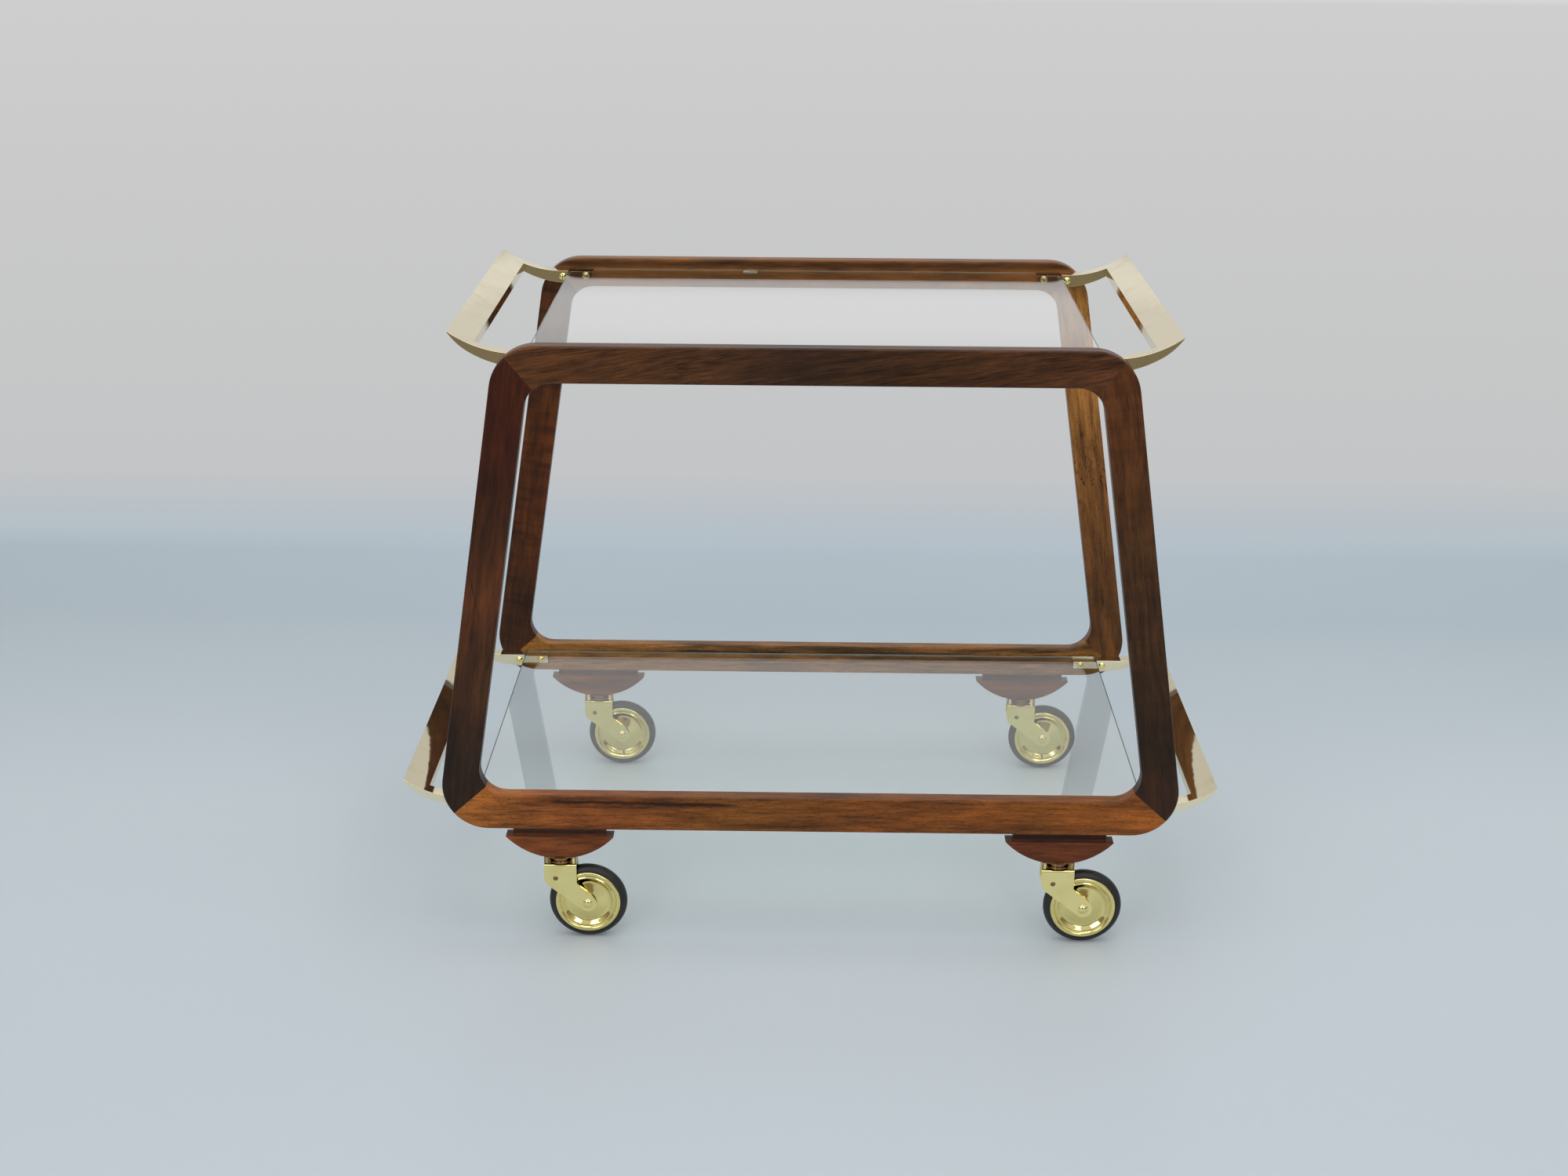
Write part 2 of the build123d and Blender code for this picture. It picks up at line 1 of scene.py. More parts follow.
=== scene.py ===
# %% [markdown]
# # A bar cart of walnut, glass and brass
#
# The cart is two splayed walnut frames, tied together by four cast brass handles
# that also carry two sheets of glass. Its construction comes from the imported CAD
# model, which is loaded here as a fixed frame. This file gives every piece its
# finish, rebuilds the pieces that need softer edges, and lights the whole.
# All lengths are metres unless a comment says millimetres.

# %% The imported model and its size
import math

import bmesh
import bpy
import numpy as np
from mathutils import Matrix, Vector


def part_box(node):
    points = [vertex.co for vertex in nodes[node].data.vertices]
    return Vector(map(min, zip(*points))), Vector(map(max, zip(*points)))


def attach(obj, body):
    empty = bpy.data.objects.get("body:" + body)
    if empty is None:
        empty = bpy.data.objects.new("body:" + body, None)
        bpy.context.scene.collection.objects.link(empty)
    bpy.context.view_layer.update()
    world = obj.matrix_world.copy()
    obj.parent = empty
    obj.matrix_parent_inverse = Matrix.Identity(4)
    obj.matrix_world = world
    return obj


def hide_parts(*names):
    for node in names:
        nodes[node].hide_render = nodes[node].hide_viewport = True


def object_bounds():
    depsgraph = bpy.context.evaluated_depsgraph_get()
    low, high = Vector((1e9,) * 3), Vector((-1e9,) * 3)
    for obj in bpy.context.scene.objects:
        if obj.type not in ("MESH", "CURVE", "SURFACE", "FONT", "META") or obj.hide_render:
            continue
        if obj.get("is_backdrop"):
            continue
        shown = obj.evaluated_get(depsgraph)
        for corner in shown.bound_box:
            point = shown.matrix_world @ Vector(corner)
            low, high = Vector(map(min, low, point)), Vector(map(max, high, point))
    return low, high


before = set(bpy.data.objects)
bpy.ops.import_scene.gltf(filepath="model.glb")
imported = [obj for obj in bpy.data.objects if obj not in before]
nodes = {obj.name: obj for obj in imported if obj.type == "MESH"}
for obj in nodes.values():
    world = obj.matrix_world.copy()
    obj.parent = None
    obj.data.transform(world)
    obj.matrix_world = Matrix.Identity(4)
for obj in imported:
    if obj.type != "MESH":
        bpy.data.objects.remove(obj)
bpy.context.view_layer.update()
MM = 0.001
CORNERS = ("front_left", "front_right", "back_left", "back_right")

# %% [markdown]
# ## Small helpers
#
# Colours are written as sRGB hex values, the way they are picked from a swatch,
# while Blender's shaders work in linear light, so one function turns the first
# into the second. Materials are built from nodes, and one function adds a node.
# A node tree could be clicked together by hand, but code keeps each value visible.

# %% Colour and node helpers
def linear(swatch):
    """Turns an sRGB hex colour into linear RGBA by the sRGB curve, channel by channel."""
    channels = np.array([int(swatch[i:i + 2], 16) for i in (1, 3, 5)]) / 255
    curve = np.where(channels <= 0.04045, channels / 12.92, ((channels + 0.055) / 1.055) ** 2.4)
    return (*curve.tolist(), 1.0)


def add(tree, kind, settings=None, links=None, stops=()):
    """Adds a node. Settings are its own properties or the values of its sockets. Links give
    the output, or the node whose first output, that feeds a socket. Stops are the
    positions and hex colours of a colour ramp."""
    made = tree.nodes.new("ShaderNode" + kind)
    for name, value in (settings or {}).items():
        if isinstance(name, str) and hasattr(made, name):
            setattr(made, name, value)
        else:
            made.inputs[name].default_value = value
    for name, source in (links or {}).items():
        output = source.outputs[0] if isinstance(source, bpy.types.Node) else source
        tree.links.new(output, made.inputs[name])
    if stops:
        points = made.color_ramp.elements
        while len(points) < len(stops):
            points.new(0.5)
        for point, (position, swatch) in zip(points, stops):
            point.position = position
            point.color = linear(swatch)
    return made


def new_material(name):
    """Makes an empty material and returns it with its tree and its output node."""
    made = bpy.data.materials.new(name)
    made.use_nodes = True
    made.node_tree.nodes.clear()
    return made, made.node_tree, add(made.node_tree, "OutputMaterial")


print("the grey #BCBCBC is", round(linear("#BCBCBC")[0], 2), "in linear light")

# %% [markdown]
# ## The camera
#
# The camera stands where the photograph was taken from: about two metres in front
# of the cart and half a metre above its top, looking down by 20 degrees. Its place,
# turn and lens were worked out from straight edges of the cart, so the render can
# be laid over the photograph.

# %% Camera from its place and three angles
camera_place = Vector((-5.825, -2068.881, 1029.499)) * MM
yaw, pitch, roll = -0.010623, -0.344483, 0.006792
focal_pixels, photo_width, sensor_width = 2772.817, 2000, 36

forward = Vector((math.sin(yaw) * math.cos(pitch), math.cos(yaw) * math.cos(pitch), math.sin(pitch)))
sideways = Vector((math.cos(yaw), -math.sin(yaw), 0))
above = sideways.cross(forward)
right = sideways * math.cos(roll) + above * math.sin(roll)
up = above * math.cos(roll) - sideways * math.sin(roll)
facing = Matrix((right, up, -forward)).transposed().to_4x4()

camera_data = bpy.data.cameras.new("camera")
camera_data.sensor_width = sensor_width
camera_data.lens = focal_pixels / photo_width * sensor_width
camera_data.clip_start, camera_data.clip_end = 0.05, 50
camera = bpy.data.objects.new("camera", camera_data)
camera.matrix_world = Matrix.Translation(camera_place) @ facing
bpy.context.scene.collection.objects.link(camera)
bpy.context.scene.camera = camera
print("lens", round(camera_data.lens, 2), "mm, looking down", round(-math.degrees(pitch), 1), "degrees")

# %% [markdown]
# ## The floor and the backdrop
#
# The floor is one sheet that runs back and then curves up, as a photographer's
# paper sweep does, so there is no hard line where floor and wall meet. It is a
# profile carried along the X axis: flat, a quarter circle, then upright. The floor
# is lit like the cart and keeps its shadow. The upright part is too far away to
# matter as a surface, so to the camera, to mirrors and through glass it simply
# glows in its own tone, a little brighter above the picture's upper edge. A camera
# that stands behind the cart looks through the back of it.

# %% Meshes from arrays
def build(name, points, faces):
    """Makes an object of arrays of points and faces. Points that lie on each other become
    one, faces without area go, and all faces turn outwards."""
    shell = bmesh.new()
    mesh = bpy.data.meshes.new(name)
    used, renamed = np.unique(faces, return_inverse=True)
    mesh.from_pydata(points[used].tolist(), [], renamed.reshape(faces.shape).tolist())
    shell.from_mesh(mesh)
    bmesh.ops.remove_doubles(shell, verts=shell.verts, dist=0.001 * MM)
    bmesh.ops.recalc_face_normals(shell, faces=shell.faces)
    shell.to_mesh(mesh)
    shell.free()
    mesh.shade_smooth()
    made = bpy.data.objects.new(name, mesh)
    bpy.context.scene.collection.objects.link(made)
    return made


def surface(name, points, closed=False):
    """Turns a grid of points, of shape (rows, columns, 3), into a mesh of quads, each between
    two rows and two columns. Closed joins the last row and column to the first ones."""
    rows, columns = points.shape[:2]
    i, j = np.indices((rows, columns) if closed else (rows - 1, columns - 1))
    i2, j2 = (i + 1) % rows, (j + 1) % columns
    quads = [i * columns + j, i2 * columns + j, i2 * columns + j2, i * columns + j2]
    return build(name, points.reshape(-1, 3), np.stack(quads, -1).reshape(-1, 4))


# %% The sweep of paper behind the cart
def sweep_profile(front, bend_start, radius, top, steps=24):
    """Points (Y, Z) of a flat run, a quarter circle of that radius, and an upright run."""
    angle = np.linspace(0, np.pi / 2, steps)
    bend = np.stack([bend_start + radius * np.sin(angle), radius * (1 - np.cos(angle))], 1)
    return np.concatenate([[[front, 0]], bend, [[bend_start + radius, top]]])


profile = sweep_profile(front=-1.9, bend_start=0.95, radius=0.15, top=2.6)
paper_half_width = 4
across = np.linspace(-paper_half_width, paper_half_width, 3)
grid = np.zeros((len(across), len(profile), 3))
grid[:, :, 0] = across[:, None]
grid[:, :, 1:] = profile[None]
backdrop = surface("backdrop", grid)
backdrop.data.flip_normals()
backdrop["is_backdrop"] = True
print("backdrop stands", profile[-1, 0], "m behind the middle of the cart")

# %% Tones of the paper
# Shares of the way from the first place to the second, along Y for the floor and along Z for the upright
# part. In front the floor's tone is painted dark: painted shade of the dim room, for polished metal to
# mirror.
FLOOR_REACH, WALL_REACH = (-2.5, 1.0), (0.0, 1.2)
FLOOR_TONES = ((0.215, "#857D6C"), (0.36, "#BFC7CC"), (0.57, "#C0C9D0"), (0.74, "#C6CFD5"),
               (0.91, "#BAC6CE"), (1.0, "#C2CFD8"))
WALL_TONES = ((0.0, "#B3BFC8"), (0.07, "#C4C5C6"), (0.45, "#CACACA"), (0.645, "#CFCECE"),
              (0.665, "#E9E8E7"), (0.70, "#E9E8E7"), (0.73, "#DCDBDA"))

paper, tree, out = new_material("matt_paper_sweep")
place = add(tree, "SeparateXYZ", links={0: add(tree, "TexCoord").outputs["Object"]})
floor_share = add(tree, "MapRange", {"From Min": FLOOR_REACH[0], "From Max": FLOOR_REACH[1]},
                  {"Value": place.outputs["Y"]})
wall_share = add(tree, "MapRange", {"From Min": WALL_REACH[0], "From Max": WALL_REACH[1]},
                 {"Value": place.outputs["Z"]})
floor_tone = add(tree, "ValToRGB", links={"Fac": floor_share}, stops=FLOOR_TONES)
wall_tone = add(tree, "ValToRGB", links={"Fac": wall_share}, stops=WALL_TONES)
print("tones", len(FLOOR_TONES), "on the floor and", len(WALL_TONES), "upright")

# %% Paper that glows where it stands upright
bend_height = 12 * MM
lit_paper = add(tree, "BsdfPrincipled", {"Roughness": 0.4}, {"Base Color": floor_tone})
glow = add(tree, "Emission", {"Strength": 1.0}, {"Color": wall_tone})
ray = add(tree, "LightPath")
first_sight = add(tree, "Math", {"operation": "MAXIMUM"},
                  {0: ray.outputs["Is Camera Ray"], 1: ray.outputs["Is Glossy Ray"]})
seen = add(tree, "Math", {"operation": "MAXIMUM"}, {0: first_sight, 1: ray.outputs["Is Transmission Ray"]})
upright = add(tree, "MapRange", {"From Min": 0.0, "From Max": bend_height}, {"Value": place.outputs["Z"]})
glowing = add(tree, "Math", {"operation": "MULTIPLY"}, {0: upright, 1: seen})
both = add(tree, "MixShader", links={0: glowing, 1: lit_paper, 2: glow})
# The back of the upright part is clear, but only straight from the camera.
behind = add(tree, "Math", {"operation": "MULTIPLY"},
             {0: add(tree, "NewGeometry").outputs["Backfacing"], 1: ray.outputs["Is Camera Ray"]})
hidden = add(tree, "Math", {"operation": "MULTIPLY"}, {0: upright, 1: behind})
opened = add(tree, "MixShader", links={0: hidden, 1: both, 2: add(tree, "BsdfTransparent")})
tree.links.new(opened.outputs[0], out.inputs["Surface"])
backdrop.data.materials.append(paper)
print("paper has", len(tree.nodes), "nodes")

# %% [markdown]
# ## The light
#
# The photograph was taken in a room with light from above, windows behind the camera
# and dimmer walls low down. Here a large soft panel overhead gives the shadow under
# the cart, and two upright panels stand in for windows. The world is pale above, and
# dark and warm up to 25 degrees over the horizon: polished metal needs something
# dark to mirror, or it looks like cream paint.

# %% World
# From straight down, 0, over the horizon, 0.5, to straight up, 1.
WORLD_TONES = ((0.0, "#6E675A"), (0.49, "#857C6A"), (0.60, "#8F8879"), (0.73, "#D6D5D2"), (1.0, "#E6E7E9"))

world = bpy.data.worlds.new("studio")
bpy.context.scene.world = world
world.use_nodes = True
tree = world.node_tree
tree.nodes.clear()
direction = add(tree, "SeparateXYZ", links={0: add(tree, "TexCoord").outputs["Generated"]})
steepness = add(tree, "MapRange", {"From Min": -1.0, "From Max": 1.0}, {"Value": direction.outputs["Z"]})
room_tone = add(tree, "ValToRGB", links={"Fac": steepness}, stops=WORLD_TONES)
sky = add(tree, "Background", {"Strength": 1.0}, {"Color": room_tone})
add(tree, "OutputWorld", links={"Surface": sky})
print("world has", len(WORLD_TONES), "tones from straight down to straight up")

# %% Soft panels
# Place, point it faces, width and height, and radiance.
PANELS = {"ceiling_panel": ((0.2, -0.3, 2.4), (0, 0, 0), (2.4, 1.8), 1.45),
          "left_window": ((-1.5, -2.9, 1.6), (0, 0, 0.3), (1.2, 1.5), 2.9),
          "right_window": ((1.2, -3.1, 1.7), (0, 0, 0.3), (1.0, 1.4), 2.9)}


def soft_panel(name, place, aim, size, radiance):
    """A rectangular light that faces a point. Its power is its radiance times its area times pi."""
    data = bpy.data.lights.new(name, "AREA")
    data.shape = "RECTANGLE"
    data.size, data.size_y = size
    data.energy = radiance * size[0] * size[1] * math.pi
    made = bpy.data.objects.new(name, data)
    made.location = place
    made.rotation_euler = (Vector(aim) - Vector(place)).to_track_quat("-Z", "Y").to_euler()
    made.visible_camera = False
    bpy.context.scene.collection.objects.link(made)


for name, values in PANELS.items():
    soft_panel(name, *values)
print("lights", list(PANELS))

# %% [markdown]
# ## Walnut
#
# The frames are European walnut, planed, rounded over and oiled to a satin shine.
# What the eye sees is a warm brown that drifts from dark to light along a bar,
# soft clouds and fibre streaks that run with the grain, and short dark pores cut
# open by the plane. A picture of wood could be wrapped round each bar, but then it
# would run wrong at the ends. Here the wood is solid: the pattern fills space and
# each bar is cut from it, so the grain meets at an angle in every mitre.
# Each bar has its own direction, its own piece of the trunk, and its own tones
# from end to end. The pattern only makes those tones darker and lighter.

# %% Noise along the grain, and stains
def grain_noise(tree, source, size, detail=2.0, roughness=0.5):
    """Noise whose blotches have a size in millimetres along, across and through the grain."""
    way = add(tree, "Mapping", {"Scale": tuple(1 / (s * MM) for s in size)}, {0: source})
    return add(tree, "TexNoise", {"Scale": 1.0, "Detail": detail, "Roughness": roughness}, {0: way})


def stain(tree, colour, pattern, low, high, amount, swatch):
    """Multiplies a colour by a swatch where a pattern passes from low to high, by up to a
    given amount. Returns the new colour and the stain's own strength. A Mix node has
    sockets for each kind of value: 6 and 7 take the two colours, and 2 gives one."""
    where = add(tree, "MapRange", {"From Min": low, "From Max": high, "To Max": amount}, {"Value": pattern})
    mixed = add(tree, "Mix", {"data_type": "RGBA", "blend_type": "MULTIPLY", 7: linear(swatch)},
                {0: where, 6: colour})
    return mixed.outputs[2], where


def window(tree, position, start, end, soft):
    """One between two places, and zero outside, with soft ends. All are in millimetres, apart
    from the position itself, which comes from the shader in metres."""
    rise = add(tree, "MapRange", {"From Min": start * MM, "From Max": (start + soft) * MM},
               {"Value": position})
    fall = add(tree, "MapRange", {"From Min": (end - soft) * MM, "From Max": end * MM,
                                  "To Min": 1.0, "To Max": 0.0}, {"Value": position})
    return add(tree, "Math", {"operation": "MULTIPLY"}, {0: rise, 1: fall})


# %% Marks that lie at given places on a bar
longest_fade = 25


def spalting(tree, colour, trunk, axes, start, end):
    """Dark lines a hair wide round patches of wood, like the coast on a map: they run where
    a noise is close to one value, 0.53, between two places along the bar."""
    patches = grain_noise(tree, trunk, (30, 6, 6), 3.0, 0.62)
    offset = add(tree, "Math", {"operation": "SUBTRACT", 1: 0.53}, {0: patches})
    ridge = add(tree, "Math", {"operation": "ABSOLUTE"}, {0: offset})
    line = add(tree, "MapRange", {"From Min": 0.0, "From Max": 0.028, "To Min": 1.0, "To Max": 0.0},
               {"Value": ridge})
    lines = add(tree, "Math", {"operation": "MULTIPLY"},
                {0: line, 1: window(tree, axes.outputs["X"], start, end, longest_fade)})
    return stain(tree, colour, lines, 0.0, 1.0, 0.95, "#33251F")[0]


def drawn_mark(tree, colour, trunk, axes, start, end, height, slope, width, meander, strength):
    """A single streak, or a band of painted shade. Its middle line has the given height over the bar's axis
    at the start, climbs by the slope and swings by the meander to each side, and it fades to nothing at its
    half-width."""
    swing = add(tree, "Math", {"operation": "MULTIPLY_ADD", 1: meander * 2 * MM,
                               2: -meander * MM - (height - slope * start) * MM},
                {0: grain_noise(tree, trunk, (16, 900, 900))})
    tilt = add(tree, "Math", {"operation": "MULTIPLY_ADD", 1: -slope}, {0: axes.outputs["X"], 2: swing})
    offset = add(tree, "Math", {"operation": "ADD"}, {0: axes.outputs["Z"], 1: tilt})
    gap = add(tree, "Math", {"operation": "ABSOLUTE"}, {0: offset})
    core = add(tree, "MapRange", {"interpolation_type": "SMOOTHSTEP", "From Min": 0.0,
                                  "From Max": width * MM, "To Min": 1.0, "To Max": 0.0}, {"Value": gap})
    fade = min(longest_fade, (end - start) / 3)
    mark = add(tree, "Math", {"operation": "MULTIPLY"},
               {0: core, 1: window(tree, axes.outputs["X"], start, end, fade)})
    return stain(tree, colour, mark, 0.0, 1.0, strength, "#3A2A22")[0]


# %% Tones from end to end of a bar
def bar_tones(tree, axes, wander, tones, reach):
    """Spreads tones along the grain over reach, in metres. The wander moves them by up to half
    the drift to each side, so that they don't change in straight lines."""
    drift = 0.10
    moved = add(tree, "Math", {"operation": "MULTIPLY_ADD", 1: drift}, {0: wander, 2: axes.outputs["X"]})
    spread = add(tree, "MapRange", {"From Min": reach[0] + drift / 2, "From Max": reach[1] + drift / 2},
                 {"Value": moved})
    steps = np.linspace(0.0, 1.0, len(tones)).tolist()
    return add(tree, "ValToRGB", links={"Fac": spread}, stops=list(zip(steps, tones)))


# %% Walnut as a solid block of wood
def walnut(name, tones, turn=0.0, reach=(-0.35, 0.35), log=0.0, slant=0.0, cloud=0.9, figure=0.7,
           fibre=0.6, pore=0.5, streak=0.3, ripple=0.0, spalt=None, drawn=(), rough=0.42):
    """Wood whose grain runs along X turned about Y by turn degrees. tones are spread along
    the grain over reach, in metres. log moves the cut to another part of the trunk, slant
    lets the fibres run out of the bar by some degrees, spalt is a reach of its own in
    millimetres, and drawn holds single marks: start, end, height, slope, half-width and
    meander in millimetres, and strength. rough is the roughness, and the rest are the
    strengths of the patterns."""
    made, tree, out = new_material(name)
    place = add(tree, "TexCoord").outputs["Object"]
    along = add(tree, "Mapping", {"Rotation": (0, math.radians(turn), 0)}, {0: place})
    axes = add(tree, "SeparateXYZ", links={0: along})
    trunk = add(tree, "Mapping", {"Rotation": (0, math.radians(turn + slant), 0),
                                  "Location": (log, log * 0.37, log * 0.21)}, {0: place})

    # The grain wanders by a few millimetres over a hand's length.
    wander = grain_noise(tree, trunk, (160, 45, 45))
    bent = add(tree, "VectorMath", {"operation": "MULTIPLY_ADD", 1: (0.0, 9 * MM, 9 * MM)},
               {0: wander.outputs["Color"], 2: trunk})
    clouds = grain_noise(tree, bent, (85, 17, 17), 3.0, 0.55)
    figures = grain_noise(tree, bent, (34, 3.6, 3.6), 3.0, 0.6)
    # Fibres are hundredths of a millimetre wide; drawn 0.8 mm wide, the finest that shows.
    fibres = grain_noise(tree, bent, (22, 0.8, 0.8), 2.0, 0.6)
    # Pores are 0.2 by 3 mm; drawn 0.6 by 4 mm for the same reason.
    pores = grain_noise(tree, bent, (4.0, 0.6, 0.6), 1.0, 0.4)
    minerals = grain_noise(tree, bent, (190, 8, 8))

    # Each noise adds its strength times its distance from one half to a middle depth.
    lift = 0.5 - (cloud + figure + fibre) / 2
    depth = add(tree, "Math", {"operation": "MULTIPLY_ADD", 1: cloud, 2: lift}, {0: clouds})
    for source, strength in ((figures, figure), (fibres, fibre)):
        depth = add(tree, "Math", {"operation": "MULTIPLY_ADD", 1: strength}, {0: source, 2: depth})
    shade = add(tree, "ValToRGB", links={"Fac": depth},
                stops=((0.12, "#5A5552"), (0.5, "#BCBCBC"), (0.88, "#FCF6EE")))
    # The middle shade is one half in linear light, so the tones are doubled first.
    doubled = add(tree, "VectorMath", {"operation": "SCALE", "Scale": 2.0},
                  {0: bar_tones(tree, axes, wander, tones, reach)})
    wood = add(tree, "VectorMath", {"operation": "MULTIPLY"}, {0: doubled, 1: shade})

    # Soft green-grey mineral streaks, then the pores.
    colour, _ = stain(tree, wood.outputs[0], minerals, 0.52, 0.68, streak, "#7C8272")
    colour, pore_marks = stain(tree, colour, pores, 0.57, 0.68, pore, "#6E5A4E")
    if ripple:
        # Curly figure: soft bars across the grain, 11 mm apart.
        curls = grain_noise(tree, bent, (11, 60, 60))
        colour, _ = stain(tree, colour, curls, 0.45, 0.7, ripple, "#8F8580")
    if spalt:
        colour = spalting(tree, colour, trunk, axes, *spalt)
    for mark in drawn:
        colour = drawn_mark(tree, colour, trunk, axes, *mark)

    # Pores are dents. The oil's sheen is weaker where the wood is seen face on.
    relief = add(tree, "Math", {"operation": "MULTIPLY_ADD", 1: -0.8}, {0: pore_marks, 2: fibres})
    bump = add(tree, "Bump", {"Strength": 0.15, "Distance": 0.25 * MM}, {"Height": relief})
    gloss = add(tree, "MapRange", {"To Min": rough - 0.05, "To Max": rough + 0.08}, {"Value": clouds})
    slanting = add(tree, "LayerWeight", {"Blend": 0.5}).outputs["Facing"]
    sheen = add(tree, "MapRange", {"From Min": 0.45, "From Max": 0.75, "To Min": 0.22, "To Max": 0.6},
                {"Value": slanting})
    shader = add(tree, "BsdfPrincipled", {"IOR": 1.5},
                 {"Base Color": colour, "Roughness": gloss, "Specular IOR Level": sheen, "Normal": bump})
    tree.links.new(shader.outputs[0], out.inputs["Surface"])
    return made


# %% Each bar's own wood
# The legs lean outwards by 8.72 degrees.
left_leg = dict(turn=90 - 8.72, reach=(0.06, 0.54))
right_leg = dict(turn=90 + 8.72, reach=(0.06, 0.54))
bars = {
    "front_top_rail": dict(
        tones=("#6A3C20", "#57341A", "#53331C", "#3A2517", "#472A14", "#52311C", "#532F1A"),
        log=0.31, slant=9, cloud=0.7, fibre=1.2, pore=0.3, streak=0.4,
        drawn=((-80, 8, 566.0, 0.0, 13.0, 3.0, 0.45),)),
    "front_bottom_rail": dict(
        tones=("#A4642A", "#85491E", "#754719", "#774318", "#7E4818", "#92531E"),
        log=1.73, cloud=0.8, fibre=0.8, pore=0.55, streak=0.6,
        drawn=((-262, -60, 144.6, -0.012, 3.4, 2.0, 0.85), (-235, -110, 139.0, -0.01, 1.4, 1.5, 0.35))),
    "front_left_leg": dict(
        tones=("#2F1C10", "#2B1B10", "#422713", "#583017", "#3A1D0D", "#41190B", "#461F0D"),
        log=2.57, pore=0.2, cloud=0.7, **left_leg,
        drawn=((270, 328, 348.5, 0.33, 0.7, 2.0, 0.9), (150, 280, 351.0, -0.04, 0.8, 4.0, 0.35))),
    "front_right_leg": dict(
        tones=("#3E2412", "#27180B", "#452B14", "#4D3017", "#5B3418", "#5C351A"),
        log=3.19, pore=0.2, ripple=0.3, cloud=0.7, **right_leg),
    "back_top_rail": dict(
        tones=("#80501F", "#845222", "#885524"),
        log=4.41, pore=0.2, drawn=((-300, 300, 579.0, 0.0, 8.0, 0.0, 0.7),)),
    "back_bottom_rail": dict(
        tones=("#8C5E28", "#7E562E", "#845726"),
        log=5.13, pore=0.6, streak=0.9, figure=1.0, drawn=((-150, 0, 142.0, 0.0, 5.0, 0.5, 0.75),)),
    "back_left_leg": dict(
        tones=("#42220B", "#3E210E", "#50290F", "#532A0D", "#4C280C", "#46240C"),
        log=6.27, ripple=0.7, pore=0.2, **left_leg),
    "back_right_leg": dict(
        tones=("#563617", "#613D1E", "#88592C", "#B0783B", "#AE763B"),
        log=7.39, spalt=(255, 350), streak=0.5, **right_leg,
        drawn=((344, 354, -346.0, 0.0, 2.4, 0.0, 0.7), (146, 165, -349.5, 0.0, 2.4, 0.5, 0.6))),
}
for bar, look in bars.items():
    nodes[bar].data.materials[0] = walnut("oiled_walnut_" + bar, **look)
print("bars of walnut", len(bars))

# %% Blocks and dowels
block_tones = ("#7B431D", "#6C3817", "#603019")
# The gap under the rail, between rail and block, is painted dark along its length: painted shade, as a
# deeper hollow would hold.
painted_recess_shade = (-320, 320, 112.0, 0.0, 6.5, 0.0, 0.88)
for i, corner in enumerate(CORNERS):
    nodes[corner + "_caster_block"].data.materials[0] = walnut(
        "oiled_walnut_block_" + corner, block_tones, log=9.1 + i * 0.83, pore=0.3, streak=0.5,
        drawn=(painted_recess_shade,))
beech = walnut("planed_beech", ("#D2B08A", "#C9A67E"), turn=90, log=0.5, streak=0.0, rough=0.5)
for pins in ("mitre_dowels", "block_dowels"):
    nodes[pins].data.materials[0] = beech
print("blocks", len(CORNERS), "and two sets of dowels")

# %% [markdown]
# ## Brass
#
# The handles are cast brass, filed and then polished to a mirror on a wheel. The
# casters are pressed from rolled brass sheet and plated pale. Polished brass is a
# yellow mirror: nearly all that one sees is the room. What makes it look real is
# that the mirror isn't perfect: a slow wave left by the polishing wheel, hair
# scratches from wiping, and a breath of tarnish where no cloth reaches.

# %% Polished brass
def brass(name, tone, tarnish, wave, wave_length=18, rough=0.04):
    """A polished metal. wave is how much the surface undulates, wave_length is in millimetres,
    and rough is how blurred the mirror is."""
    made, tree, out = new_material(name)
    place = add(tree, "TexCoord").outputs["Object"]
    waves = add(tree, "TexNoise", {"Scale": 1 / (wave_length * MM), "Detail": 1.0}, {0: place})
    # Hair scratches are hundredths of a millimetre wide; drawn at 0.4 by 12 mm to show at all.
    hair_way = add(tree, "Mapping", {"Rotation": (0.5, 0.4, 0.9), "Scale": (80, 2400, 2400)}, {0: place})
    hairs = add(tree, "TexNoise", {"Scale": 1.0, "Detail": 2.0}, {0: hair_way})
    patches = add(tree, "TexNoise", {"Scale": 1 / (26 * MM), "Detail": 4.0, "Roughness": 0.6}, {0: place})
    dull = add(tree, "MapRange", {"From Min": 0.5, "From Max": 0.8, "To Max": 0.4}, {"Value": patches})
    metal = add(tree, "Mix", {"data_type": "RGBA", 6: linear(tone), 7: linear(tarnish)}, {0: dull})
    blur = add(tree, "Math", {"operation": "ADD"}, {0: hairs, 1: dull})
    gloss = add(tree, "MapRange", {"From Min": 0.3, "From Max": 0.75,
                                   "To Min": rough * 0.6, "To Max": rough * 1.8}, {"Value": blur})
    wavy = add(tree, "Bump", {"Strength": wave, "Distance": 0.25 * MM}, {"Height": waves})
    scratched = add(tree, "Bump", {"Strength": 0.04, "Distance": 0.05 * MM},
                    {"Height": hairs, "Normal": wavy})
    shader = add(tree, "BsdfPrincipled", {"Metallic": 1.0},
                 {"Base Color": metal.outputs[2], "Roughness": gloss, "Normal": scratched})
    tree.links.new(shader.outputs[0], out.inputs["Surface"])
    return made


# %% Each piece's own brass
# The cast metal is the whitest and the plated sheet of the forks the yellowest.
cast_brass = brass("polished_cast_brass", "#ECE2C2", "#CDB98A", wave=0.25, rough=0.035)
sheet_brass = brass("plated_sheet_brass", "#F4E6A0", "#CDB56C", wave=0.2, wave_length=9)
# The discs are a little duller than the forks.
disc_brass = brass("pressed_disc_brass", "#E8DA94", "#BFA65E", wave=0.2, wave_length=9)
# The clip is a paler, rougher brass than the rest, so that it shows as a pale glint: its paleness is a
# painted highlight.
clip_brass = brass("bright_spring_brass", "#FBF4DA", "#E6D8A4", wave=0.0, rough=0.25)
# The bearings and the cross pins are given a dark brown tone and a blurred mirror.
bearing_brass = brass("dark_brown_bearing_brass", "#8A6F50", "#3E2E20", wave=0.2, wave_length=5, rough=0.12)


